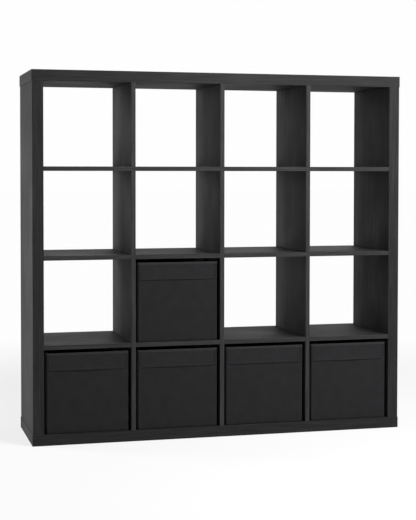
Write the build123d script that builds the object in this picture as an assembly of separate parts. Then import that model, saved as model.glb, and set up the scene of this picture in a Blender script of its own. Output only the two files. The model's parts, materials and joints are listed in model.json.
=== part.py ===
from build123d import *
import os

# Cube storage unit: a lattice of doweled boards in a thick outer frame, open at front and back,
# with five stiffened fabric boxes that slide out of their cells.
# Millimetres, +Z up, front towards -Y, origin on the floor under the middle of the unit.

# Driving sizes of the boards
cell_width = 333.0  # clear width of one cell
cell_height = 319.0  # clear height of one cell
unit_depth = 390.0  # front edge to back edge of every board
outer_board = 42.0  # thickness of top, bottom and sides
inner_board = 17.0  # thickness of shelves, uprights and dividers
cap_overhang = 2.0  # how far top and bottom stand out past the sides
arris = 0.6  # bevel along every board edge, which draws the fine joint lines

# Driving sizes of the fasteners
dowel_diameter = 8.0
dowel_flute_count = 10  # flats round a dowel and round its hole
dowel_setback = 75.0  # dowel centres from the front and back edges
dowel_fit = 0.1  # radial room round a dowel
dowel_end_room = 1.0  # spare depth at each end of a dowel hole
panel_bite = 13.0  # dowel depth in the face of an outer board
end_bite = 22.0  # dowel depth in the end of a board
screw_setback = 38.0  # screw centres from the front and back edges
screw_diameter = 7.0
screw_facet_count = 12  # flats that stand for the round head, shank and holes
screw_length = 92.0
screw_fit = 0.15  # radial room round the screw
screw_end_room = 3.0  # spare depth past the screw's end
head_diameter = 13.0
head_height = 4.5
head_sink = 0.6  # how far the head lies below the board's face
socket_width = 5.0  # across the flats of the hexagon socket
socket_depth = 3.0

# Driving sizes of the fabric boxes
box_side_room = 9.5  # between a box and the cell wall, each side
box_top_room = 14.0  # between a box and the board above it
box_glide = 0.3  # between a box and the board that it stands on
box_recess = 10.0  # box front behind the front of the unit
box_depth = 370.0
cover_skin = 1.0  # outer fabric
cover_radius = 6.0  # upright corners of the outer fabric
stiffener = 2.5  # paperboard between the two fabrics
lining_skin = 0.8  # inner fabric
base_thickness = 3.0
base_room = 1.0  # between the base board and the lining, all round
binding_skin = 0.8  # folded tape over the rim
binding_leg = 9.0  # height of the tape on either side of the rim
fold_room = 0.1  # between the tape and the edges that it wraps
flap_drop = 67.0  # lower edge of the hand flap below the rim
flap_skin = 1.4
flap_side_room = 4.0  # flap ends from the box's corners
flap_cut = 3.0  # slanted lower corners of the flap

# The grid of four columns, left to right, and four rows, bottom to top
columns = range(4)
rows = range(4)
box_cells = {
    "bottom_box_1": (0, 0),
    "bottom_box_2": (1, 0),
    "bottom_box_3": (2, 0),
    "bottom_box_4": (3, 0),
    "raised_box": (1, 1),
}

# Overall sizes that follow from the grid
inner_width = len(columns) * cell_width + (len(columns) - 1) * inner_board
inner_height = len(rows) * cell_height + (len(rows) - 1) * inner_board
unit_height = inner_height + 2 * outer_board
cap_width = inner_width + 2 * outer_board + 2 * cap_overhang
left = -inner_width / 2
right = inner_width / 2
floor = outer_board
ceiling = outer_board + inner_height


def cell_left(column):
    """X of a cell's left wall."""
    return left + column * (cell_width + inner_board)


def cell_right(column):
    """X of a cell's right wall."""
    return cell_left(column) + cell_width


def cell_floor(row):
    """Z of a cell's floor."""
    return floor + row * (cell_height + inner_board)


def cell_top(row):
    """Z of the underside above a cell."""
    return cell_floor(row) + cell_height


def board(x_low, x_high, z_low, z_high):
    """A board over the unit's whole depth, with every edge bevelled."""
    blank = Box(x_high - x_low, unit_depth, z_high - z_low)
    blank = chamfer(blank.edges(), arris)
    return Pos((x_low + x_high) / 2, 0, (z_low + z_high) / 2) * blank


def shelf(row, first, last):
    """A shelf on top of a row, from the left wall of one cell to the right wall of another."""
    return board(cell_left(first), cell_right(last), cell_top(row), cell_floor(row + 1))


def upright(column, first, last):
    """An upright on the right of a column, from the floor of one row to the top of another."""
    return board(cell_right(column), cell_left(column + 1), cell_floor(first), cell_top(last))


def make_boards():
    """The outer frame and the lattice, where each board runs through or butts as on the real unit."""
    side_outer = right + outer_board
    boards = {
        "top_panel": board(-cap_width / 2, cap_width / 2, ceiling, unit_height),
        "bottom_panel": board(-cap_width / 2, cap_width / 2, 0, floor),
        "left_side": board(-side_outer, left, floor, ceiling),
        "right_side": board(right, side_outer, floor, ceiling),
        "upper_shelf": shelf(2, 0, 3),
        "middle_shelf_left": shelf(1, 0, 1),
        "middle_shelf_right": shelf(1, 2, 3),
        "centre_upright": upright(1, 0, 2),
        "lower_upright_left": upright(0, 0, 1),
        "lower_upright_right": upright(2, 0, 1),
        "second_divider_left": upright(0, 2, 2),
        "second_divider_right": upright(2, 2, 2),
    }
    for column in columns:
        boards[f"lower_shelf_{column + 1}"] = shelf(0, column, column)
    for column in columns[:-1]:
        boards[f"top_divider_{column + 1}"] = upright(column, 3, 3)
    return boards


def mid_upright(column):
    """X in the middle of the upright on the right of a column."""
    return cell_right(column) + inner_board / 2


def mid_shelf(row):
    """Z in the middle of the shelf on top of a row."""
    return cell_top(row) + inner_board / 2


def paired(x, z, setback, turn=Rot(0, 0, 0)):
    """The front and the back place of a fastener at one joint."""
    reach = unit_depth / 2 - setback
    return [Pos(x, y, z) * turn for y in (-reach, reach)]


def end_dowel_places():
    """Where dowels join a board's end to an outer board, or two outer boards at a corner."""
    offset = (end_bite - panel_bite) / 2
    across = Rot(0, 90, 0)
    places = []
    for side in (-1, 1):
        for row in rows[:-1]:
            places += paired(side * (right - offset), mid_shelf(row), dowel_setback, across)
        corner = side * (right + outer_board / 2)
        places += paired(corner, floor + offset, dowel_setback)
        places += paired(corner, ceiling - offset, dowel_setback)
    for column in columns[:-1]:
        places += paired(mid_upright(column), floor + offset, dowel_setback)
        places += paired(mid_upright(column), ceiling - offset, dowel_setback)
    return places


def through_dowel_places():
    """Where dowels pass through a running board into the two boards that butt on it."""
    across = Rot(0, 90, 0)
    places = []
    for column in columns[:-1]:
        x = mid_upright(column)
        places += paired(x, mid_shelf(2), dowel_setback)
        places += paired(x, mid_shelf(0), dowel_setback, across)
        centre = column == 1
        places += paired(x, mid_shelf(1), dowel_setback, across if centre else Rot(0, 0, 0))
    return places


def rod(diameter, flats, low, high):
    """An upright rod between two heights, with narrow flats in place of a round."""
    return Pos(0, 0, low) * extrude(RegularPolygon(diameter / 2, flats), high - low)


def dowel(length):
    """A fluted wooden peg, centred on the origin."""
    return rod(dowel_diameter, dowel_flute_count, -length / 2, length / 2)


def dowel_hole(length):
    """The hole that one dowel needs, with room round it and past its ends."""
    reach = length / 2 + dowel_end_room
    return rod(dowel_diameter + 2 * dowel_fit, dowel_flute_count, -reach, reach)


def screw():
    """A connecting screw below the board's face: a head with a hexagon socket, and a shank."""
    under = -head_sink - head_height
    head = rod(head_diameter, screw_facet_count, under, -head_sink)
    shank = rod(screw_diameter, screw_facet_count, under - screw_length, under)
    socket = extrude(RegularPolygon(socket_width / 2, 6, major_radius=False), socket_depth)
    return head + shank - Pos(0, 0, -head_sink - socket_depth) * socket


def screw_hole():
    """The stepped hole for one screw, from the board's face to past the screw's end."""
    under = -head_sink - head_height
    end = under - screw_length - screw_end_room
    sink = rod(head_diameter + 2 * screw_fit, screw_facet_count, under, 0)
    return sink + rod(screw_diameter + 2 * screw_fit, screw_facet_count, end, under)


def screw_places():
    """Where the screws go through top and bottom into the ends of the sides."""
    places = []
    for side in (-1, 1):
        x = side * (right + outer_board / 2)
        places += paired(x, unit_height, screw_setback)
        places += paired(x, 0, screw_setback, Rot(180, 0, 0))
    return places


def drilled(blank, holes):
    """A board with every hole that reaches it."""
    extent = blank.bounding_box()
    reached = [hole for hole in holes if extent.overlaps(hole.bounding_box())]
    return blank - reached if reached else blank


def make_carcass():
    """Boards and fasteners of the unit itself."""
    end_length = panel_bite + end_bite
    through_length = 2 * end_bite + inner_board
    groups = {
        "end_dowels": (end_dowel_places(), dowel(end_length), dowel_hole(end_length)),
        "through_dowels": (through_dowel_places(), dowel(through_length), dowel_hole(through_length)),
        "corner_screws": (screw_places(), screw(), screw_hole()),
    }
    holes = [place * hole for places, _, hole in groups.values() for place in places]
    nodes = {name: drilled(blank, holes) for name, blank in make_boards().items()}
    for name, (places, piece, _) in groups.items():
        nodes[name] = Compound([place * piece for place in places])
    return nodes


# Sizes of a box that follow from its cell
box_width = cell_width - 2 * box_side_room
box_height = cell_height - box_glide - box_top_room
wall_top = box_height - binding_skin - fold_room
lining_width = box_width - 2 * (cover_skin + stiffener)
lining_depth = box_depth - 2 * (cover_skin + stiffener)
inside_width = lining_width - 2 * lining_skin
inside_depth = lining_depth - 2 * lining_skin


def block(width, depth, low, high):
    """An upright block with square corners between two heights."""
    return Pos(0, 0, low) * extrude(Rectangle(width, depth), high - low)


def cover_block(grow, low, high):
    """A block of the cover's outline, grown all round, with rounded upright corners."""
    outline = RectangleRounded(box_width + 2 * grow, box_depth + 2 * grow, cover_radius + grow)
    return Pos(0, 0, low) * extrude(outline, high - low)


def box_cover():
    """The outer fabric: a bottom and four walls with rounded upright corners."""
    outside = cover_block(0, 0, wall_top)
    return outside - cover_block(-cover_skin, cover_skin, wall_top)


def box_lining():
    """The inner fabric, which lies inside the wall boards."""
    outside = block(lining_width, lining_depth, cover_skin, wall_top)
    return outside - block(inside_width, inside_depth, cover_skin + lining_skin, wall_top)


def box_wall_boards():
    """Four paperboards between cover and lining, free of each other so that the corners can fold."""
    height = wall_top - cover_skin
    upward = (Align.CENTER, Align.CENTER, Align.MIN)
    front = Box(box_width - 2 * cover_radius, stiffener, height, align=upward)
    flank = Box(stiffener, box_depth - 2 * cover_radius, height, align=upward)
    across = box_depth / 2 - cover_skin - stiffener / 2
    along = box_width / 2 - cover_skin - stiffener / 2
    boards = [Pos(0, y, cover_skin) * front for y in (-across, across)]
    boards += [Pos(x, 0, cover_skin) * flank for x in (-along, along)]
    return Compound(boards)


def box_base_board():
    """The loose board that keeps the bottom flat."""
    low = cover_skin + lining_skin
    return block(inside_width - 2 * base_room, inside_depth - 2 * base_room, low, low + base_thickness)


def rim_ring(grow, low, high):
    """A ring along the rim, grown past the cover's outside and the lining's inside."""
    return cover_block(grow, low, high) - block(inside_width - 2 * grow, inside_depth - 2 * grow, low, high)


def box_rim_binding():
    """A tape folded over the rim, with one leg outside the cover and one inside the lining."""
    leg_low = box_height - binding_leg
    tape = rim_ring(fold_room + binding_skin, leg_low, box_height)
    return tape - rim_ring(fold_room, leg_low, wall_top + fold_room)


def box_handle_flap():
    """The strip of doubled fabric that hangs under the binding on the front, to pull the box by."""
    high = box_height - binding_leg - fold_room
    low = box_height - flap_drop
    half = box_width / 2 - cover_radius - flap_side_room
    outline = Polyline(
        (-half, high), (half, high), (half, low + flap_cut), (half - flap_cut, low),
        (flap_cut - half, low), (-half, low + flap_cut), close=True,
    )
    return Pos(0, -box_depth / 2, 0) * extrude(Plane.XZ * make_face(outline), flap_skin)


def make_boxes():
    """The pieces of every box, each in its own cell."""
    pieces = {
        "cover": box_cover(),
        "lining": box_lining(),
        "wall_boards": box_wall_boards(),
        "base_board": box_base_board(),
        "rim_binding": box_rim_binding(),
        "handle_flap": box_handle_flap(),
    }
    middle = box_recess + box_depth / 2 - unit_depth / 2
    nodes = {}
    for box, (column, row) in box_cells.items():
        stand = Pos(cell_left(column) + cell_width / 2, middle, cell_floor(row) + box_glide)
        for piece, shape in pieces.items():
            nodes[f"{box}_{piece}"] = stand * shape
    return nodes


os.makedirs("parts", exist_ok=True)
for node, shape in (make_carcass() | make_boxes()).items():
    export_step(shape, f"parts/{node}.step")
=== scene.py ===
"""Looks of a cube storage unit: wood-effect boards, stiffened felt boxes, and a plain studio."""

import json
import math

import bpy
import numpy as np
from mathutils import Matrix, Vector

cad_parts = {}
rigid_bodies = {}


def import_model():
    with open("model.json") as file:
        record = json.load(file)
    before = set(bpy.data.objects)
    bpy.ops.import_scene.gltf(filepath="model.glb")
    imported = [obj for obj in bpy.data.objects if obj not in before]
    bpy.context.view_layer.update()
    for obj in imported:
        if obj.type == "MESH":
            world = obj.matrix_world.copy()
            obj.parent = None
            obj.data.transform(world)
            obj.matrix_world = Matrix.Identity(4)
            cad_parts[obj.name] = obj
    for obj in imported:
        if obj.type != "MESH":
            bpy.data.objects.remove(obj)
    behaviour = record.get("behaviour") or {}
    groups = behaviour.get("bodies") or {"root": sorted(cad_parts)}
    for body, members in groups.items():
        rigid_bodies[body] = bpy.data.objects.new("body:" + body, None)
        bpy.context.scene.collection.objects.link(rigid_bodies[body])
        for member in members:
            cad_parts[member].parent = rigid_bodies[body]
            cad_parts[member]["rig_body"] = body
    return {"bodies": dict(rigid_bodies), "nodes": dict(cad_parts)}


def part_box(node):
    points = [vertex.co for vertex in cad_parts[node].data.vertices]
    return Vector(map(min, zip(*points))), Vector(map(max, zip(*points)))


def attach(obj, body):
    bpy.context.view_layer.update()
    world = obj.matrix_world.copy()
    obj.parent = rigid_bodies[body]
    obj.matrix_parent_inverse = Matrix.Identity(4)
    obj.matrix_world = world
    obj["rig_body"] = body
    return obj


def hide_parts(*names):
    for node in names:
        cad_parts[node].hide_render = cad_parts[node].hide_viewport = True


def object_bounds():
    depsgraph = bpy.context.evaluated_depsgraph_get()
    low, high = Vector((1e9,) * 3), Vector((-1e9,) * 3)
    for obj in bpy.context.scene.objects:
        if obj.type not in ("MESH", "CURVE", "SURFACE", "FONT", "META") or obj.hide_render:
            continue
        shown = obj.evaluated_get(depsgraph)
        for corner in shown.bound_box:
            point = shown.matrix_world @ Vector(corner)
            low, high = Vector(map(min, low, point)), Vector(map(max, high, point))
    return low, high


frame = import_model()
cad_low, cad_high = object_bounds()

# Places and sizes in metres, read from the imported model
BOXES = [body for body in frame["bodies"] if body != "unit"]
BACK = cad_high.y
MM = 0.001

# Camera, fitted to the photo's straight lines
CAMERA_PLACE = (-1.3288, -5.0580, 1.0407)
CAMERA_YAW = 15.143
CAMERA_PITCH = 1.943
CAMERA_ROLL = 0.084
FOCAL_PIXELS = 1303.2
PHOTO_PIXELS = (416, 520)
AXIS_PIXEL = (219.2, 213.3)
SENSOR = 36.0

# Boards
BAND_THICKNESS = 1.2 * MM
BAND_LINE = 0.35 * MM
FOIL_DARK = (0.0046, 0.0045, 0.0044)
FOIL_LIGHT = (0.0212, 0.0210, 0.0206)
FOIL_PORE = (0.0030, 0.0029, 0.0028)
THIN_BOARD = 25.0 * MM
# Edge bands of thin boards drawn 1.6 times lighter than the same foil elsewhere: a painted highlight
THIN_BAND_HIGHLIGHT = 1.6

# Connecting screws, each head with a hexagon socket
SCREW_POINTS = 48
SCREW_LENGTH = 92.0 * MM
HEAD_RADIUS = 6.5 * MM
HEAD_HEIGHT = 4.5 * MM
SHANK_RADIUS = 3.5 * MM
SOCKET_HALF_WIDTH = 2.5 * MM
SOCKET_DEPTH = 3.0 * MM

# Felt boxes
FELT = 1.0 * MM
LINING_FELT = 0.8 * MM
COVER_CORNER = 6.0 * MM
COVER_FOOT = 2.0 * MM
LINING_CORNER = 3.0 * MM
LINING_DRAW = 0.8 * MM
WALL_SWELL = 1.2 * MM
WALL_RIPPLE = 0.5 * MM
SEAM_RIDGE = 0.7 * MM
SEAM_HALF_WIDTH = 3.0 * MM
RIDGE_FADE_TOP = 12.0 * MM
RIDGE_FADE_FOOT = 6.0 * MM
TAPE = 0.8 * MM
TAPE_ROOM = 0.1 * MM
TAPE_ARCH = 2.2 * MM
TAPE_WOBBLE = 0.25 * MM
FLAP_BOW = 3.0 * MM
FLAP_HEM = 7.0 * MM
FLAP_WALL_ROOM = 0.05 * MM
HEM_CREASE = 0.5 * MM
HEM_CREASE_WIDTH = 1.2 * MM
BASE_DOME = 0.8 * MM
BASE_ROLL = 2.5 * MM
STITCH_PITCH = 4.6 * MM
STITCH_LENGTH = 3.5 * MM
STITCH_RADIUS = 0.30 * MM
RIM_STITCH_DROP = 7.0 * MM
SEAM_STITCH_INSET = 5.0 * MM
SEAM_STITCH_START = 6.0 * MM
SEAM_STITCH_STOP = 2.0 * MM
HEM_STITCH_INSET = 6.0 * MM
HEM_STITCH_SINK = 0.35 * MM

# Studio: the floor, the surround in front of the unit and behind it, and each lamp's place, aim, size, power
FLOOR_REACH = 60.0
FLOOR_ALBEDO = 0.55
FLOOR_ALBEDO_SEEN = 0.21
FLOOR_GLOW = 0.755
FLOOR_WHITE = 0.985
FLOOR_WHITENS = (1.1, 3.2)
FLOOR_IN_GLOSS = 0.68
SKY_SEEN = 0.99
SKY_IN_GLOSS = (0.15, 0.99)
SKY_LIGHT = (0.45, 0.3)
SKY_OVERHEAD = 0.4
LAMPS = {
    "key_softbox": ((1.6, -2.2, 2.9), (0.5, 0.0, 1.0), 1.4, 134.0),
    "front_softbox": ((0.9, -2.6, 2.2), (0.3, 0.0, 0.9), 1.4, 26.0),
    "left_softbox": ((-2.3, 0.8, 0.75), (-0.73, 0.0, 0.1), 0.6, 25.0),
}


# Wiring of materials and of the surround
class Wiring:
    """The nodes of one tree while they are being wired."""

    def __init__(self, tree):
        self.tree = tree

    def add(self, kind, inputs=(), **settings):
        """A node of one kind, with its settings, and inputs given as values or as other sockets."""
        made = self.tree.nodes.new("ShaderNode" + kind)
        for key, value in settings.items():
            setattr(made, key, value)
        for key, value in dict(inputs).items():
            if isinstance(value, bpy.types.NodeSocket):
                self.tree.links.new(value, made.inputs[key])
            else:
                made.inputs[key].default_value = value
        return made

    def math(self, operation, first, second=0.0, third=0.0):
        """The result of a sum, product or like step on two or three numbers."""
        return self.add("Math", {0: first, 1: second, 2: third}, operation=operation).outputs[0]

    def coordinates(self, source, scale=(1, 1, 1), turn=(0, 0, 0)):
        """Object or UV coordinates, turned and scaled."""
        start = self.add("TexCoord").outputs[source]
        return self.add("Mapping", {"Vector": start, "Scale": scale, "Rotation": turn}).outputs[0]

    def noise(self, vector, scale, detail=4.0, rough=0.55, warp=0.0):
        """Fractal noise between 0 and 1."""
        inputs = {"Vector": vector, "Scale": scale, "Detail": detail}
        inputs.update({"Roughness": rough, "Distortion": warp})
        return self.add("TexNoise", inputs).outputs["Fac"]

    def spread(self, value, low, high, to_low=0.0, to_high=1.0, curve="LINEAR"):
        """A value stretched from one span to another, and held inside it."""
        inputs = {"Value": value, "From Min": low, "From Max": high, "To Min": to_low, "To Max": to_high}
        return self.add("MapRange", inputs, interpolation_type=curve).outputs["Result"]

    def blend(self, share, dark, light):
        """A colour between two colours or sockets."""
        made = self.add("Mix", data_type="RGBA")
        for socket, value in ((made.inputs[0], share), (made.inputs[6], dark), (made.inputs[7], light)):
            if isinstance(value, bpy.types.NodeSocket):
                self.tree.links.new(value, socket)
            else:
                socket.default_value = value if isinstance(value, float) else (*value, 1.0)
        return made.outputs[2]

    def bump(self, height, strength, distance):
        """A surface normal raised by a height."""
        return self.add("Bump", {"Height": height, "Strength": strength, "Distance": distance}).outputs[0]

    def rays(self, *kinds):
        """1 for rays of any of the kinds named, and 0 for the rest."""
        path = self.add("LightPath")
        found = path.outputs[f"Is {kinds[0]} Ray"]
        for kind in kinds[1:]:
            found = self.math("MAXIMUM", found, path.outputs[f"Is {kind} Ray"])
        return found


class Finish(Wiring):
    """One material while its nodes are being wired."""

    def __init__(self, name):
        self.material = bpy.data.materials.new(name)
        self.material.use_nodes = True
        super().__init__(self.material.node_tree)
        self.shader = self.tree.nodes["Principled BSDF"]

    def set(self, **sockets):
        """Values or links on the shader's own sockets."""
        for key, value in sockets.items():
            socket = self.shader.inputs[key.replace("_", " ")]
            if isinstance(value, bpy.types.NodeSocket):
                self.tree.links.new(value, socket)
            else:
                socket.default_value = value
        return self.material


def wood_foil(name, grain_turn, dullness, gloss, band_highlight):
    """Matt black foil printed with straight grain and short pores, and an edge band beside a fine line; on
    thin boards the edge band is drawn lighter, a painted highlight.
    """
    foil = Finish(name)
    along = foil.coordinates("Object", turn=grain_turn)
    long_map = foil.add("Mapping", {"Vector": along, "Scale": (1.0, 1.0, 0.022)}).outputs[0]
    broad = foil.noise(long_map, 210.0, 4.0, 0.6, 0.3)
    streaks = foil.noise(long_map, 520.0, 5.0, 0.65)
    pore_map = foil.add("Mapping", {"Vector": along, "Scale": (1.0, 1.0, 0.045)}).outputs[0]
    pores = foil.spread(foil.noise(pore_map, 900.0, 2.0, 0.5), 0.58, 0.70)
    clouds = foil.noise(foil.coordinates("Object"), 3.5, 3.0, 0.5)
    grain = foil.math("ADD", foil.math("MULTIPLY", streaks, 0.5), foil.math("MULTIPLY", broad, 0.5))
    depth = foil.add("SeparateXYZ", {0: foil.coordinates("Object")}).outputs["Y"]
    past_band = foil.math("SUBTRACT", foil.math("ABSOLUTE", depth), BACK - BAND_THICKNESS)
    band = foil.math("GREATER_THAN", past_band, 0.0)
    band_line = foil.math("LESS_THAN", foil.math("ABSOLUTE", past_band), BAND_LINE / 2)
    dark = np.array(FOIL_DARK)
    light = np.array(FOIL_LIGHT)
    fibres = foil.spread(grain, 0.36, 0.64)
    tone = foil.blend(fibres, dark, light)
    # Painted highlight: the edge band's tone made lighter on thin boards
    tone = foil.blend(band, tone, foil.blend(fibres, dark * band_highlight, light * band_highlight))
    tone = foil.blend(foil.math("MULTIPLY", pores, 0.6), tone, FOIL_PORE)
    tone = foil.blend(foil.math("MULTIPLY", band_line, 0.6), tone, FOIL_PORE)
    height = foil.math("SUBTRACT", foil.math("ADD", foil.math("MULTIPLY", streaks, 0.6), broad), pores)
    dull = foil.math("ADD", foil.math("MULTIPLY", clouds, 0.4), foil.math("MULTIPLY", grain, 0.6))
    return foil.set(
        Base_Color=tone,
        Roughness=foil.spread(dull, 0.36, 0.64, dullness + 0.12, dullness - 0.12),
        Normal=foil.bump(height, 0.45, 0.00015),
        Specular_IOR_Level=gloss,
    )


def felt(name, dark, light, sheen):
    """Pressed polyester felt: crossing fibres, fine fuzz and specks, and faint clouds from pressing."""
    cloth = Finish(name)
    fuzz = cloth.noise(cloth.coordinates("UV"), 1300.0, 5.0, 0.7)
    specks = cloth.noise(cloth.coordinates("UV"), 300.0, 4.0, 0.7)
    clouds = cloth.noise(cloth.coordinates("UV"), 24.0, 4.0, 0.6)
    fibres = cloth.noise(cloth.coordinates("UV", (2600, 220, 1), (0, 0, 0.62)), 1.0, 4.0, 0.6, 0.8)
    for turn in (-0.55, 1.75):
        crossing = cloth.noise(cloth.coordinates("UV", (2600, 220, 1), (0, 0, turn)), 1.0, 4.0, 0.6, 0.8)
        fibres = cloth.math("MAXIMUM", fibres, crossing)
    share = cloth.math("MULTIPLY", fibres, 0.30)
    for part, weight in ((fuzz, 0.25), (specks, 0.30), (clouds, 0.15)):
        share = cloth.math("MULTIPLY_ADD", part, weight, share)
    tone = cloth.blend(cloth.spread(share, 0.42, 0.63), dark, light)
    height = cloth.math("MULTIPLY_ADD", fuzz, 0.8, fibres)
    return cloth.set(
        Base_Color=tone,
        Roughness=cloth.spread(fuzz, 0.3, 0.7, 0.82, 0.96),
        Normal=cloth.bump(height, 0.7, 0.0006),
        Specular_IOR_Level=0.22,
        Sheen_Weight=sheen,
        Sheen_Roughness=0.45,
        Sheen_Tint=(0.75, 0.78, 0.86, 1.0),
    )


def ribbed_tape(name):
    """Woven binding tape: ribs across the tape, every one a little different."""
    tape = Finish(name)
    wave = {"Vector": tape.coordinates("UV"), "Scale": 190.0, "Distortion": 0.4}
    wave.update({"Detail": 2.0, "Detail Scale": 3.0})
    ribs = tape.add("TexWave", wave, bands_direction="X").outputs["Fac"]
    fuzz = tape.noise(tape.coordinates("UV"), 1900.0, 3.0, 0.6)
    worn = tape.noise(tape.coordinates("UV"), 30.0, 3.0, 0.5)
    share = tape.math("ADD", tape.math("MULTIPLY", ribs, 0.5), tape.math("MULTIPLY", worn, 0.5))
    return tape.set(
        Base_Color=tape.blend(tape.spread(share, 0.2, 0.9), (0.010, 0.010, 0.011), (0.024, 0.024, 0.026)),
        Roughness=tape.spread(fuzz, 0.3, 0.7, 0.70, 0.88),
        Normal=tape.bump(tape.math("ADD", ribs, tape.math("MULTIPLY", fuzz, 0.4)), 0.5, 0.0003),
        Specular_IOR_Level=0.3,
        Sheen_Weight=0.12,
    )


def sewing_thread(name):
    """Twisted polyester thread: slanted plies with a soft shine."""
    thread = Finish(name)
    slant = thread.coordinates("Object", turn=(0.5, 0.6, 0.7))
    wave = {"Vector": slant, "Scale": 700.0, "Distortion": 1.0}
    plies = thread.add("TexWave", wave, bands_direction="DIAGONAL").outputs["Fac"]
    return thread.set(
        Base_Color=thread.blend(plies, (0.012, 0.012, 0.013), (0.034, 0.034, 0.037)),
        Roughness=thread.spread(plies, 0.0, 1.0, 0.5, 0.65),
        Normal=thread.bump(plies, 0.4, 0.0001),
    )


def grey_paperboard(name):
    """Pressed paper fibres with flecks."""
    board = Finish(name)
    fibres = board.noise(board.coordinates("Object", (1, 1, 0.3)), 900.0, 5.0, 0.6)
    flecks = board.spread(board.noise(board.coordinates("Object"), 350.0, 2.0), 0.62, 0.7)
    tone = board.blend(board.spread(fibres, 0.3, 0.7), (0.20, 0.155, 0.105), (0.33, 0.27, 0.19))
    return board.set(
        Base_Color=board.blend(board.math("MULTIPLY", flecks, 0.5), tone, (0.10, 0.075, 0.05)),
        Roughness=board.spread(fibres, 0.3, 0.7, 0.85, 0.95),
        Normal=board.bump(fibres, 0.3, 0.0002),
    )


def turned_beech(name):
    """Pale beech with short dark flecks along the peg."""
    beech = Finish(name)
    grain = beech.noise(beech.coordinates("Object", (1, 1, 0.1)), 900.0, 4.0, 0.6)
    flecks = beech.spread(beech.noise(beech.coordinates("Object", (1, 1, 0.3)), 1500.0, 2.0), 0.6, 0.7)
    tone = beech.blend(beech.spread(grain, 0.3, 0.7), (0.40, 0.24, 0.12), (0.56, 0.37, 0.20))
    return beech.set(
        Base_Color=beech.blend(beech.math("MULTIPLY", flecks, 0.5), tone, (0.22, 0.12, 0.06)),
        Roughness=beech.spread(grain, 0.3, 0.7, 0.5, 0.65),
        Normal=beech.bump(grain, 0.3, 0.0002),
    )


def zinc_steel(name):
    """Zinc-plated steel with a spangle of dull and bright crystals and fine scratches."""
    steel = Finish(name)
    spangle = steel.add("TexVoronoi", {"Vector": steel.coordinates("Object"), "Scale": 900.0})
    crystals = spangle.outputs["Distance"]
    scratches = steel.noise(steel.coordinates("Object", (1, 0.05, 1)), 3000.0, 2.0)
    return steel.set(
        Base_Color=steel.blend(steel.spread(crystals, 0.0, 0.8), (0.36, 0.36, 0.37), (0.55, 0.55, 0.56)),
        Metallic=1.0,
        Roughness=steel.spread(scratches, 0.3, 0.7, 0.28, 0.45),
        Normal=steel.bump(scratches, 0.15, 0.00005),
    )


# Surfaces
def ring_quads(rings, points):
    """Quads between neighbouring rings of points, where every ring closes on itself."""
    i = np.arange(rings - 1)[:, None]
    j = np.arange(points)[None, :]
    k = (j + 1) % points
    here = i * points
    above = here + points
    return np.stack([here + j, here + k, above + k, above + j], -1).reshape(-1, 4)


def sheet_quads(rows, columns):
    """Quads between neighbouring rows and columns of an open sheet."""
    i = np.arange(rows - 1)[:, None]
    j = np.arange(columns - 1)[None, :]
    corner = i * columns + j
    return np.stack([corner, corner + 1, corner + columns + 1, corner + columns], -1).reshape(-1, 4)


def ring_uv(around, across):
    """UV in metres for every corner of ring_quads: the run round the ring, and the run across the rings."""
    i = np.arange(len(across) - 1)[:, None]
    j = np.arange(len(around) - 1)[None, :]
    u = np.stack([around[j] + 0 * i, around[j + 1] + 0 * i, around[j + 1] + 0 * i, around[j] + 0 * i], -1)
    v = np.stack([across[i] + 0 * j, across[i] + 0 * j, across[i + 1] + 0 * j, across[i + 1] + 0 * j], -1)
    return np.stack([u, v], -1).reshape(-1, 2)


def make_piece(name, points, faces, material, uv=None, smooth=True):
    """An object from points and arrays of faces, one array per number of corners, with UV at each corner."""
    corners = np.concatenate([group.ravel() for group in faces]).astype(np.int32)
    sizes = np.concatenate([np.full(len(group), group.shape[1]) for group in faces])
    mesh = bpy.data.meshes.new(name)
    mesh.vertices.add(points.size // 3)
    mesh.vertices.foreach_set("co", np.ascontiguousarray(points, np.float32).ravel())
    mesh.loops.add(len(corners))
    mesh.loops.foreach_set("vertex_index", corners)
    mesh.polygons.add(len(sizes))
    mesh.polygons.foreach_set("loop_start", (np.cumsum(sizes) - sizes).astype(np.int32))
    mesh.polygons.foreach_set("use_smooth", np.full(len(sizes), smooth))
    if uv is not None:
        layer = mesh.uv_layers.new(name="UVMap")
        layer.data.foreach_set("uv", np.ascontiguousarray(uv, np.float32).ravel())
    mesh.materials.append(material)
    mesh.update(calc_edges=True)
    mesh.validate()
    piece = bpy.data.objects.new(name, mesh)
    bpy.context.scene.collection.objects.link(piece)
    return piece


def solidify(piece, thickness):
    """Gives a skin its thickness, inwards from the surface."""
    skin = piece.modifiers.new("skin", "SOLIDIFY")
    skin.thickness = thickness
    skin.offset = -1.0
    skin.use_even_offset = True
    return piece


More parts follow.
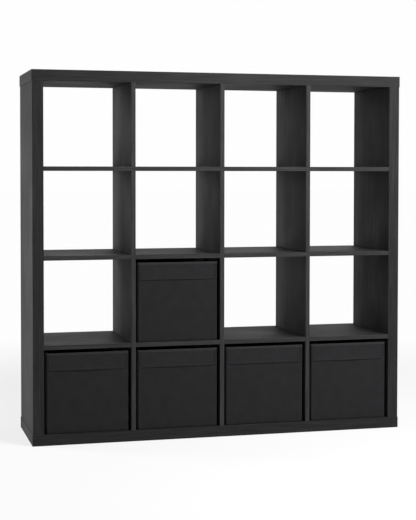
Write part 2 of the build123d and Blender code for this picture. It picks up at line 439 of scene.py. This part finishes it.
class Outline:
    """A rounded rectangle seen from above, counter-clockwise from the front's left end.

    Four straight sides and four quarter arcs. Every point has its outward normal, its run along the
    outline, its share of swell (a parabola that is 1 in the middle of a side and 0 at the corners) and
    its distance from the middle of the nearest corner arc.
    """

    def __init__(self, half_x, half_y, radius, side_points=60, corner_points=10):
        facing = np.radians([-90.0, 0.0, 90.0, 180.0])[:, None]
        normal = np.stack([np.cos(facing), np.sin(facing)], -1)
        forward = np.stack([-np.sin(facing), np.cos(facing)], -1)
        apothem = np.array([half_y, half_x, half_y, half_x])[:, None, None]
        reach = (np.array([half_x, half_y, half_x, half_y]) - radius)[:, None]
        t = np.linspace(-1.0, 1.0, side_points)[None, :]
        side = normal * apothem + forward * (reach * t)[..., None]
        turn = facing + np.radians(90.0) * np.linspace(0.0, 1.0, corner_points + 2)[None, 1:-1]
        arc_normal = np.stack([np.cos(turn), np.sin(turn)], -1)
        centre = normal * (apothem - radius) + forward * reach[..., None]
        arc = centre + radius * arc_normal
        self.points = np.concatenate([side, arc], 1).reshape(-1, 2)
        self.normals = np.concatenate([np.broadcast_to(normal, side.shape), arc_normal], 1).reshape(-1, 2)
        side_swell = np.broadcast_to(1 - t**2, (4, side_points))
        self.swell = np.concatenate([side_swell, np.zeros((4, corner_points))], 1).ravel()
        step = np.linalg.norm(np.roll(self.points, -1, 0) - self.points, axis=1)
        self.run = np.concatenate([[0.0], np.cumsum(step)])
        corner = (centre + radius * (normal + forward) / math.sqrt(2)).reshape(-1, 2)
        self.corner_gap = np.linalg.norm(self.points[:, None] - corner[None], axis=2).min(1)

    def __len__(self):
        return len(self.points)


class FeltBox:
    """The places of one box, read from its CAD solids."""

    def __init__(self, body, seed):
        self.body = body
        self.cover_low, self.cover_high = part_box(f"{body}_cover")
        self.lining_low, self.lining_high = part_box(f"{body}_lining")
        self.tape_low, self.tape_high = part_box(f"{body}_rim_binding")
        self.flap_low, self.flap_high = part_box(f"{body}_handle_flap")
        self.base_low, self.base_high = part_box(f"{body}_base_board")
        self.centre = np.array((self.cover_low + self.cover_high) / 2)
        self.half = np.array(self.cover_high - self.cover_low) / 2
        self.phase = np.random.default_rng(seed).uniform(0.0, 2 * math.pi, 6)

    def ripple(self, run, z):
        """Uneven tension in the felt: three slow waves along the walls and up them, between 0 and 1."""
        a, b, c, d, e, f = self.phase
        waves = np.sin(9.0 * run + 14.0 * z + a) * np.sin(7.0 * z + b)
        waves = waves + 0.6 * np.sin(21.0 * run + c) * np.sin(17.0 * z + d)
        waves = waves + 0.3 * np.sin(38.0 * run - 23.0 * z + e) * np.cos(11.0 * run + f)
        return 0.5 + 0.5 * waves / 1.9

    def wall(self, outline, index, z):
        """Points of the cover's wall: the outline pushed out by a swell, a ripple and ridges at the corners.

        The swell is a parabola along a side times a half sine up the wall. The ridge is a bell curve across
        each upright seam.
        """
        low, high = self.cover_low.z, self.cover_high.z
        rise = np.clip((z - low) / (high - low), 0.0, 1.0)
        swell = outline.swell[index]
        up = np.sin(math.pi * rise)
        out = WALL_SWELL * swell * up**0.8
        out = out + WALL_RIPPLE * np.sqrt(swell) * self.ripple(outline.run[index], z) * up
        fade = np.clip((high - z) / RIDGE_FADE_TOP, 0.0, 1.0) * np.clip((z - low) / RIDGE_FADE_FOOT, 0.0, 1.0)
        out = out + SEAM_RIDGE * np.exp(-((outline.corner_gap[index] / SEAM_HALF_WIDTH) ** 2)) * fade
        spot = outline.points[index] + outline.normals[index] * out[..., None]
        return np.concatenate([spot + self.centre[:2], z[..., None]], -1)


def felt_cover(box, material):
    """The outer felt: rings of wall points, above a quarter-round foot and a flat bottom."""
    outline = Outline(box.half[0], box.half[1], COVER_CORNER)
    low, high = box.cover_low.z, box.cover_high.z
    heights = np.linspace(low + COVER_FOOT, high, 40)
    z, index = np.meshgrid(heights, np.arange(len(outline)), indexing="ij")
    wall = box.wall(outline, index, z)
    bend = np.radians(np.linspace(0.0, 90.0, 7))[:-1]
    inset = COVER_FOOT * (1 - np.sin(bend))
    foot_z = low + COVER_FOOT * (1 - np.cos(bend))
    foot = (outline.points[None] - outline.normals[None] * inset[:, None, None]) + box.centre[:2]
    foot = np.concatenate([foot, np.broadcast_to(foot_z[:, None, None], (*foot.shape[:2], 1))], -1)
    points = np.concatenate([foot, wall], 0)
    quads = ring_quads(len(points), len(outline))
    bottom = np.arange(len(outline))[::-1]
    across = np.concatenate([low + COVER_FOOT * bend, heights])
    uv = np.concatenate([ring_uv(outline.run, across), points[0, bottom, :2]])
    cover = make_piece(f"{box.body}_felt_cover", points, [quads, bottom[None]], material, uv)
    return solidify(cover, FELT)


def felt_lining(box, material):
    """The inner felt: rings down the wall from the rim to a flat bottom, drawn in a little by a ripple."""
    half = np.array(box.lining_high - box.lining_low) / 2 - LINING_FELT
    outline = Outline(half[0], half[1], LINING_CORNER, 40, 6)
    low, high = box.lining_low.z + LINING_FELT, box.lining_high.z
    heights = np.linspace(high, low, 30)
    rise = (heights - low) / (high - low)
    draw = LINING_DRAW * outline.swell[None] * np.sin(math.pi * rise)[:, None]
    draw = draw * box.ripple(outline.run[None, :-1] + 0.4, heights[:, None])
    spot = outline.points[None] - outline.normals[None] * draw[..., None] + box.centre[:2]
    points = np.concatenate([spot, np.broadcast_to(heights[:, None, None], (*spot.shape[:2], 1))], -1)
    quads = ring_quads(len(points), len(outline))
    bottom = np.arange(len(outline)) + (len(points) - 1) * len(outline)
    uv = np.concatenate([ring_uv(outline.run, heights), points[-1, :, :2]])
    lining = make_piece(f"{box.body}_felt_lining", points, [quads, bottom[None]], material, uv)
    return solidify(lining, -LINING_FELT * 0.9)


def rim_tape(box, material):
    """The binding: a folded section carried round the rim.

    The section climbs the outer leg, turns over the rim in a half ellipse and goes down the inner leg, then
    returns the same way one tape thickness further in, so that it is closed.
    """
    outline = Outline(box.half[0], box.half[1], COVER_CORNER)
    top, low = box.tape_high.z, box.tape_low.z
    wall = (box.cover_high.x - box.lining_high.x) + LINING_FELT
    outer, inner = TAPE_ROOM + TAPE, -(wall + TAPE_ROOM + TAPE)
    middle, half_width = (outer + inner) / 2, (outer - inner) / 2
    spring = top - TAPE_ARCH
    turn = np.radians(np.linspace(0.0, 180.0, 13))
    leg = np.linspace(low, spring, 6)[:-1]
    upright = np.ones(len(leg))
    skin_out = np.concatenate([outer * upright, middle + half_width * np.cos(turn), inner * upright])
    skin_z = np.concatenate([leg, spring + TAPE_ARCH * np.sin(turn), leg[::-1]])
    slim = middle + (half_width - TAPE) * np.cos(turn)
    back_out = np.concatenate([(outer - TAPE) * upright, slim, (inner + TAPE) * upright])
    back_z = np.concatenate([leg, spring + (TAPE_ARCH - TAPE) * np.sin(turn), leg[::-1]])
    out = np.concatenate([skin_out, back_out[::-1]])
    height = np.concatenate([skin_z, back_z[::-1]])
    wobble = TAPE_WOBBLE * (box.ripple(outline.run[:-1] * 2.0, np.zeros(len(outline))) - 0.5)
    shift = np.where(height < spring - 1e-6, 1.0, 0.3)[:, None] * wobble[None]
    spot = outline.points[None] + outline.normals[None] * out[:, None, None] + box.centre[:2]
    points = np.concatenate([spot, (height[:, None] + shift)[..., None]], -1)
    run = np.concatenate([[0.0], np.cumsum(np.hypot(np.diff(out), np.diff(height)))])
    uv = ring_uv(outline.run, np.append(run, run[-1] + TAPE))
    quads = ring_quads(len(out) + 1, len(outline)) % (len(out) * len(outline))
    return make_piece(f"{box.body}_rim_tape", points, [quads], material, uv)


def flap_face(box, x, z):
    """Y of the flap's face: flat under the tape, and bowed out by a parabola towards its free lower edge."""
    drop = (box.flap_high.z - z) / (box.flap_high.z - box.flap_low.z)
    across = (x - box.centre[0]) / (box.flap_high.x - box.centre[0])
    bow = FLAP_BOW * np.clip(drop, 0, 1) ** 2 * (1 - 0.75 * across**2)
    bow = bow * (0.6 + 0.8 * box.ripple(x * 1.7, 0.0 * x))
    return box.flap_low.y - bow


def hand_flap(box, material):
    """The flap: a closed section, front and back with a rounded hem, carried across the box's front.

    The section goes down the face, round a half-ellipse hem and up the back. The ends taper to the wall over
    a few millimetres.
    """
    columns = 90
    x = np.linspace(box.flap_low.x, box.flap_high.x, columns)
    thick = box.flap_high.y - box.flap_low.y
    hem = thick * 0.75
    down = np.linspace(box.flap_high.z, box.flap_low.z + hem, 22)
    turn = np.radians(np.linspace(0.0, 180.0, 9))[1:-1]
    z = np.concatenate([down, box.flap_low.z + hem * (1 - np.sin(turn)), down[::-1]])
    share = np.concatenate([np.zeros(len(down)), (1 - np.cos(turn)) / 2, np.ones(len(down))])
    crease = np.exp(-(((z - box.flap_low.z - FLAP_HEM) / HEM_CREASE_WIDTH) ** 2)) * (share == 0)
    face = flap_face(box, x[None, :], z[:, None]) + HEM_CREASE * crease[:, None]
    edge = np.clip((1 - np.abs(x - box.centre[0]) / (box.flap_high.x - box.centre[0])) / 0.02, 0.0, 1.0)
    taper = thick * (0.35 + 0.65 * np.sqrt(edge))[None, :]
    back = np.minimum(face + taper, box.flap_high.y - FLAP_WALL_ROOM)
    y = face + (back - face) * share[:, None]
    points = np.stack([np.broadcast_to(x[None, :], y.shape), y, np.broadcast_to(z[:, None], y.shape)], -1)
    rows = len(z)
    quads = sheet_quads(rows, columns)
    front = np.arange(columns - 1)
    rear = front + (rows - 1) * columns
    lid = np.stack([rear, rear + 1, front + 1, front], -1)
    left_end = np.arange(rows) * columns
    right_end = (left_end + columns - 1)[::-1]
    faces = [quads[:, ::-1], lid[:, ::-1], left_end[None], right_end[None]]
    run = np.concatenate([[0.0], np.cumsum(np.hypot(np.diff(z), np.diff(share) * thick))])
    flat = np.stack([np.broadcast_to(x, y.shape), np.broadcast_to(run[:, None], y.shape)], -1)
    uv = np.concatenate([flat.reshape(-1, 2)[group.ravel()] for group in faces])
    return make_piece(f"{box.body}_hand_flap", points, faces, material, uv)


def covered_base(box, material):
    """The covered base board: a grid with a shallow dome that rolls over at its edges, closed below."""
    rows, columns = 36, 32
    u = np.linspace(-1.0, 1.0, columns)[None, :]
    v = np.linspace(-1.0, 1.0, rows)[:, None]
    soft_u = np.sign(u) * (1 - (1 - np.abs(u)) ** 1.6)
    soft_v = np.sign(v) * (1 - (1 - np.abs(v)) ** 1.6)
    half_x, half_y = (box.base_high.x - box.base_low.x) / 2, (box.base_high.y - box.base_low.y) / 2
    x = box.centre[0] + half_x * soft_u + 0 * v
    y = box.centre[1] + half_y * soft_v + 0 * u
    edge = np.minimum(half_x * (1 - np.abs(soft_u)), half_y * (1 - np.abs(soft_v)))
    roll = np.sqrt(np.clip(1 - (1 - np.clip(edge / BASE_ROLL, 0, 1)) ** 2, 0, 1))
    dome = BASE_DOME * (1 - soft_u**2) * (1 - soft_v**2)
    z = box.base_low.z + (box.base_high.z - box.base_low.z) * roll + dome
    upper = np.stack([x, y, z], -1)
    lower = np.stack([x, y, np.full_like(x, box.base_low.z)], -1)[1:-1, 1:-1]
    points = np.concatenate([upper.reshape(-1, 3), lower.reshape(-1, 3)])
    below = np.arange(rows * columns).reshape(rows, columns)
    below[1:-1, 1:-1] = rows * columns + np.arange(lower.size // 3).reshape(lower.shape[:2])
    quads = sheet_quads(rows, columns)
    faces = np.concatenate([quads, below.ravel()[quads][:, ::-1]])
    return make_piece(f"{box.body}_covered_base", points, [faces], material, points[faces.ravel(), :2])


def stitch_row(places, tangents, normals):
    """Stitches along a line, each a slim spindle whose radius is a half sine, sunk half into the cloth."""
    rings, sides = 5, 6
    t = np.linspace(0.0, 1.0, rings)[:, None]
    angle = np.linspace(0.0, 2 * math.pi, sides, endpoint=False)[None, :]
    radius = STITCH_RADIUS * (0.45 + 0.55 * np.sin(math.pi * t))
    local_x = (t - 0.5) * STITCH_LENGTH + 0 * angle
    local_y = radius * np.cos(angle)
    local_z = radius * np.sin(angle) + STITCH_RADIUS * (0.9 * np.sin(math.pi * t) - 0.35)
    sideways = np.cross(normals, tangents)
    local = np.stack([local_x, local_y, local_z], -1).reshape(-1, 3)
    points = (
        places[:, None]
        + local[None, :, :1] * tangents[:, None]
        + local[None, :, 1:2] * sideways[:, None]
        + local[None, :, 2:] * normals[:, None]
    )
    quads = ring_quads(rings, sides)
    offsets = (np.arange(len(places)) * rings * sides)[:, None, None]
    walls = (quads[None] + offsets).reshape(-1, 4)
    first = (np.arange(sides)[::-1][None] + offsets[:, 0]).reshape(-1, sides)
    last = (np.arange(sides)[None] + (rings - 1) * sides + offsets[:, 0]).reshape(-1, sides)
    return points.reshape(-1, 3), [walls, first, last]


def even_places(run, values, pitch):
    """Values on a line, read off at an even pitch along its run."""
    count = int((run[-1] - run[0]) // pitch)
    spots = run[0] + (np.arange(count) + 0.5) * (run[-1] - run[0]) / count
    return np.stack([np.interp(spots, run, values[:, k]) for k in range(values.shape[1])], -1)


def rim_row(box, out, z, facing):
    """A stitched line round the rim, a set way out from the cover's outline."""
    outline = Outline(box.half[0], box.half[1], COVER_CORNER)
    line = np.concatenate([outline.points + outline.normals * out, outline.normals], 1)
    line = np.concatenate([line, line[:1]], 0)
    found = even_places(outline.run, line, STITCH_PITCH)
    normals = found[:, 2:] / np.linalg.norm(found[:, 2:], axis=1)[:, None]
    places = np.concatenate([found[:, :2] + box.centre[:2], np.full((len(found), 1), z)], 1)
    flat = np.zeros((len(found), 1))
    normals = np.concatenate([normals, flat], 1)
    tangents = np.stack([-normals[:, 1], normals[:, 0], flat[:, 0]], -1)
    return stitch_row(places, tangents, normals * facing)


def flap_row(box):
    """The stitched line along the flap's hem."""
    x = np.arange(box.flap_low.x + HEM_STITCH_INSET, box.flap_high.x - HEM_STITCH_INSET, STITCH_PITCH)
    z = np.full(len(x), box.flap_low.z + FLAP_HEM)
    y = flap_face(box, x, z) + HEM_STITCH_SINK
    ahead = flap_face(box, x + MM, z) + HEM_STITCH_SINK
    tangents = np.stack([np.full(len(x), MM), ahead - y, 0 * x], -1)
    tangents = tangents / np.linalg.norm(tangents, axis=1)[:, None]
    normals = np.stack([tangents[:, 1], -tangents[:, 0], 0 * x], -1)
    return stitch_row(np.stack([x, y, z], -1), tangents, normals)


def seam_rows(box):
    """Stitched lines up the walls on both sides of every corner."""
    outline = Outline(box.half[0], box.half[1], COVER_CORNER)
    gap = outline.corner_gap
    straight = outline.swell > 0
    target = SEAM_STITCH_INSET + COVER_CORNER
    near = straight & (np.abs(gap - target) < 4 * MM)
    local = near & (np.abs(gap - target) <= np.minimum(
        np.where(np.roll(near, 1), np.abs(np.roll(gap, 1) - target), 1.0),
        np.where(np.roll(near, -1), np.abs(np.roll(gap, -1) - target), 1.0)))
    columns = np.flatnonzero(local)
    low = box.cover_low.z + SEAM_STITCH_START
    heights = np.arange(low, box.tape_low.z - SEAM_STITCH_STOP, STITCH_PITCH)
    index = np.repeat(columns, len(heights))
    z = np.tile(heights, len(columns))
    front_flap = (outline.normals[index, 1] < -0.9) & (z > box.flap_low.z - SEAM_STITCH_STOP)
    index, z = index[~front_flap], z[~front_flap]
    places = box.wall(outline, index, z)
    normals = np.concatenate([outline.normals[index], np.zeros((len(index), 1))], 1)
    tangents = np.tile(np.array([[0.0, 0.0, 1.0]]), (len(index), 1))
    return stitch_row(places, tangents, normals)


def box_stitching(box, material):
    """Every stitched line of a box, joined in one piece."""
    wall = (box.cover_high.x - box.lining_high.x) + LINING_FELT
    rows = [
        rim_row(box, TAPE_ROOM + TAPE, box.tape_high.z - RIM_STITCH_DROP, 1.0),
        rim_row(box, -(wall + TAPE_ROOM + TAPE), box.tape_high.z - RIM_STITCH_DROP, -1.0),
        flap_row(box),
        seam_rows(box),
    ]
    shift = np.cumsum([0, *[len(points) for points, _ in rows]])
    points = np.concatenate([points for points, _ in rows])
    faces = [group + start for (_, groups), start in zip(rows, shift) for group in groups]
    return make_piece(f"{box.body}_stitching", points, faces, material)


def screw_head(place, up):
    """Rings of one connecting screw, from its tip up the shank and over the head into the hexagon socket.

    Each ring is a circle, but in the socket the radius at an angle is the hexagon's: half its width over the
    cosine of the angle from the nearest flat.
    """
    angle = np.linspace(0.0, 2 * math.pi, SCREW_POINTS, endpoint=False)
    socket = SOCKET_HALF_WIDTH / np.cos((angle + math.pi / 6) % (math.pi / 3) - math.pi / 6)
    head = np.full(SCREW_POINTS, HEAD_RADIUS)
    shank = np.full(SCREW_POINTS, SHANK_RADIUS)
    rings = [
        (0.2 * shank, -SCREW_LENGTH - HEAD_HEIGHT),
        (shank, -SCREW_LENGTH),
        (shank, -HEAD_HEIGHT - 0.4 * MM),
        (0.97 * head, -HEAD_HEIGHT),
        (head, -HEAD_HEIGHT + 0.3 * MM),
        (head, -0.5 * MM),
        (0.96 * head, -0.08 * MM),
        (0.9 * head, 0.0),
        (1.12 * socket, 0.0),
        (1.02 * socket, -0.15 * MM),
        (socket, -0.4 * MM),
        (socket, -SOCKET_DEPTH),
        (0.1 * socket, -SOCKET_DEPTH - 0.3 * MM),
    ]
    radius = np.stack([ring[0] for ring in rings])
    height = np.array([ring[1] for ring in rings])[:, None] + 0 * radius
    points = np.stack([radius * np.cos(angle), radius * np.sin(angle) * up, height * up], -1)
    return points + np.asarray(place)


def connecting_screws(material):
    """All eight screws in one piece, each where its CAD solid is."""
    node = frame["nodes"]["corner_screws"]
    low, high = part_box("corner_screws")
    places = [
        ((x, y, z), up)
        for x in (low.x + HEAD_RADIUS, high.x - HEAD_RADIUS)
        for y in (low.y + HEAD_RADIUS, high.y - HEAD_RADIUS)
        for z, up in ((low.z, -1.0), (high.z, 1.0))
    ]
    points = np.stack([screw_head(place, up) for place, up in places])
    rings = points.shape[1]
    start = (np.arange(len(places)) * rings * SCREW_POINTS)[:, None, None]
    quads = (ring_quads(rings, SCREW_POINTS) + start).reshape(-1, 4)
    tip = np.arange(SCREW_POINTS)[::-1] + start[:, 0]
    socket = np.arange(SCREW_POINTS) + (rings - 1) * SCREW_POINTS + start[:, 0]
    piece = make_piece("connecting_screws", points, [quads, tip, socket], material)
    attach(piece, node["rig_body"])
    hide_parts("corner_screws")
    return piece


# Boards keep their CAD shapes and get their finish
def finish_boards():
    """Foil on every board with its grain along the board's length, and the finish of hidden pieces."""
    upright_turn = (0.0, 0.0, 0.0)
    level_turn = (0.0, math.radians(90.0), 0.0)
    foils = {
        ("upright", "thick"): wood_foil("black_foil_upright", upright_turn, 0.72, 0.26, 1.0),
        # Thin boards carry the painted highlight on their edge bands
        ("upright", "thin"): wood_foil("black_foil_thin_upright_painted_highlight", upright_turn, 0.72, 0.36, THIN_BAND_HIGHLIGHT),
        ("level", "thick"): wood_foil("black_foil_level", level_turn, 0.64, 0.22, 1.0),
        ("level", "thin"): wood_foil("black_foil_thin_level_painted_highlight", level_turn, 0.64, 0.28, THIN_BAND_HIGHLIGHT),
    }
    paperboard = grey_paperboard("grey_paperboard")
    beech = turned_beech("turned_beech")
    for name, node in frame["nodes"].items():
        low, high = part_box(name)
        if name.endswith("_wall_boards"):
            finish = paperboard
        elif name.endswith("_dowels"):
            finish = beech
        else:
            lie = "level" if high.x - low.x > high.z - low.z else "upright"
            board = "thin" if min(high - low) < THIN_BOARD else "thick"
            finish = foils[lie, board]
        node.data.materials.clear()
        node.data.materials.append(finish)


def dress_boxes():
    """The soft pieces of every box, in the place of their plain solids."""
    outer = felt("pressed_felt", (0.0060, 0.0060, 0.0065), (0.0181, 0.0181, 0.0197), 0.12)
    inner = felt("lining_felt", (0.010, 0.010, 0.011), (0.018, 0.018, 0.0195), 0.10)
    # The flap is the cover's felt drawn about a tenth lighter: painted light on the flap
    flap_felt_painted_light = felt("flap_felt_painted_light", (0.0067, 0.0067, 0.0072), (0.0195, 0.0195, 0.0212), 0.13)
    tape = ribbed_tape("binding_tape")
    thread = sewing_thread("black_thread")
    for seed, body in enumerate(BOXES):
        box = FeltBox(body, seed)
        cover = felt_cover(box, outer)
        lining = felt_lining(box, inner)
        binding = rim_tape(box, tape)
        flap = hand_flap(box, flap_felt_painted_light)
        base = covered_base(box, inner)
        stitching = box_stitching(box, thread)
        slots = {
            cover: "black_fabric",
            lining: "black_lining",
            binding: "black_binding",
            flap: "black_fabric",
            base: "covered_board",
            stitching: "black_binding",
        }
        stand_ins = {
            cover: "cover",
            lining: "lining",
            binding: "rim_binding",
            flap: "handle_flap",
            base: "base_board",
        }
        for piece, slot in slots.items():
            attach(piece, body)
        for piece, node in stand_ins.items():
            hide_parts(f"{body}_{node}")


# Studio
def pale_floor():
    """A pale floor that keeps the shadow, and turns to the white of the surround away from the unit."""
    floor = Finish("pale_floor")
    seen = floor.rays("Camera", "Transmission")
    gloss = floor.rays("Glossy")
    glowing = floor.math("MULTIPLY_ADD", gloss, FLOOR_IN_GLOSS, seen)
    looked_at = floor.math("MAXIMUM", seen, gloss)
    away = floor.add("VectorMath", {0: floor.coordinates("Object")}, operation="LENGTH").outputs["Value"]
    far = floor.spread(away, *FLOOR_WHITENS, curve="SMOOTHSTEP")
    speck = floor.spread(floor.noise(floor.coordinates("Object"), 60.0, 2.0), 0.0, 1.0, 0.98, 1.02)
    tone = floor.math("MULTIPLY", speck, floor.spread(looked_at, 0.0, 1.0, FLOOR_ALBEDO, FLOOR_ALBEDO_SEEN))
    diffuse = floor.add("BsdfDiffuse", {"Color": tone}).outputs[0]
    light = floor.add("Emission", {"Strength": floor.math("MULTIPLY", glowing, FLOOR_GLOW)}).outputs[0]
    near = floor.add("AddShader", {0: diffuse, 1: light}).outputs[0]
    white = floor.add("Emission", {"Strength": floor.math("MULTIPLY", glowing, FLOOR_WHITE)}).outputs[0]
    share = floor.math("MULTIPLY", looked_at, far)
    both = floor.add("MixShader", {0: share, 1: near, 2: white}).outputs[0]
    floor.tree.links.new(both, floor.tree.nodes["Material Output"].inputs["Surface"])
    floor.tree.nodes.remove(floor.shader)
    return floor.material


def lay_floor():
    """A wide pale floor under the unit."""
    corners = FLOOR_REACH * np.array([[-1.0, -1.0, 0.0], [1.0, -1.0, 0.0], [1.0, 1.0, 0.0], [-1.0, 1.0, 0.0]])
    floor = make_piece("studio_floor", corners, [np.arange(4)[None]], pale_floor(), smooth=False)


def light_studio():
    """A white surround, for gloss brighter behind the unit than in front of it, and the soft lamps."""
    world = bpy.data.worlds.new("studio")
    bpy.context.scene.world = world
    world.use_nodes = True
    sky = Wiring(world.node_tree)
    way = sky.add("SeparateXYZ", {0: sky.add("TexCoord").outputs["Generated"]})
    behind = sky.spread(way.outputs["Y"], -0.3, 0.5, curve="SMOOTHSTEP")
    overhead = sky.spread(way.outputs["Z"], 0.2, 0.8, 1.0, SKY_OVERHEAD, curve="SMOOTHSTEP")
    mirrored = sky.math("MULTIPLY", overhead, sky.spread(behind, 0.0, 1.0, *SKY_IN_GLOSS))
    shed = sky.math("MULTIPLY", overhead, sky.spread(behind, 0.0, 1.0, *SKY_LIGHT))
    unseen = sky.add("Mix", {0: sky.rays("Glossy"), 2: shed, 3: mirrored}).outputs[0]
    level = sky.add("Mix", {0: sky.rays("Camera", "Transmission"), 2: unseen, 3: SKY_SEEN}).outputs[0]
    background = world.node_tree.nodes["Background"]
    background.inputs["Color"].default_value = (1.0, 1.0, 1.0, 1.0)
    sky.tree.links.new(level, background.inputs["Strength"])
    for name, lamp in LAMPS.items():
        soft_lamp(name, *lamp)


def soft_lamp(name, place, aim, size, power):
    """A square soft lamp that looks at a point."""
    lamp = bpy.data.lights.new(name, "AREA")
    lamp.size = size
    lamp.energy = power
    holder = bpy.data.objects.new(name, lamp)
    bpy.context.scene.collection.objects.link(holder)
    z = np.array(place, float) - np.array(aim, float)
    z = z / np.linalg.norm(z)
    x = np.cross((0.0, 0.0, 1.0), z)
    x = x / np.linalg.norm(x)
    y = np.cross(z, x)
    turn = Matrix(np.column_stack([x, y, z]).tolist()).to_4x4()
    holder.matrix_world = Matrix.Translation(place) @ turn


def set_camera():
    """The photo's viewpoint: a heading, a small tilt down and roll, and an axis off the picture's centre."""
    lens = bpy.data.cameras.new("photo_camera")
    lens.sensor_width = SENSOR
    lens.lens = FOCAL_PIXELS * SENSOR / PHOTO_PIXELS[1]
    lens.shift_x = (PHOTO_PIXELS[0] / 2 - AXIS_PIXEL[0]) / PHOTO_PIXELS[1]
    lens.shift_y = (AXIS_PIXEL[1] - PHOTO_PIXELS[1] / 2) / PHOTO_PIXELS[1]
    camera = bpy.data.objects.new("photo_camera", lens)
    bpy.context.scene.collection.objects.link(camera)
    heading = Matrix.Rotation(math.radians(-CAMERA_YAW), 4, "Z")
    tilt = Matrix.Rotation(math.radians(90.0 - CAMERA_PITCH), 4, "X")
    roll = Matrix.Rotation(math.radians(CAMERA_ROLL), 4, "Z")
    camera.matrix_world = Matrix.Translation(CAMERA_PLACE) @ heading @ tilt @ roll
    bpy.context.scene.camera = camera


bpy.context.scene.view_settings.view_transform = "Standard"
set_camera()
finish_boards()
connecting_screws(zinc_steel("zinc_steel"))
dress_boxes()
lay_floor()
light_studio()
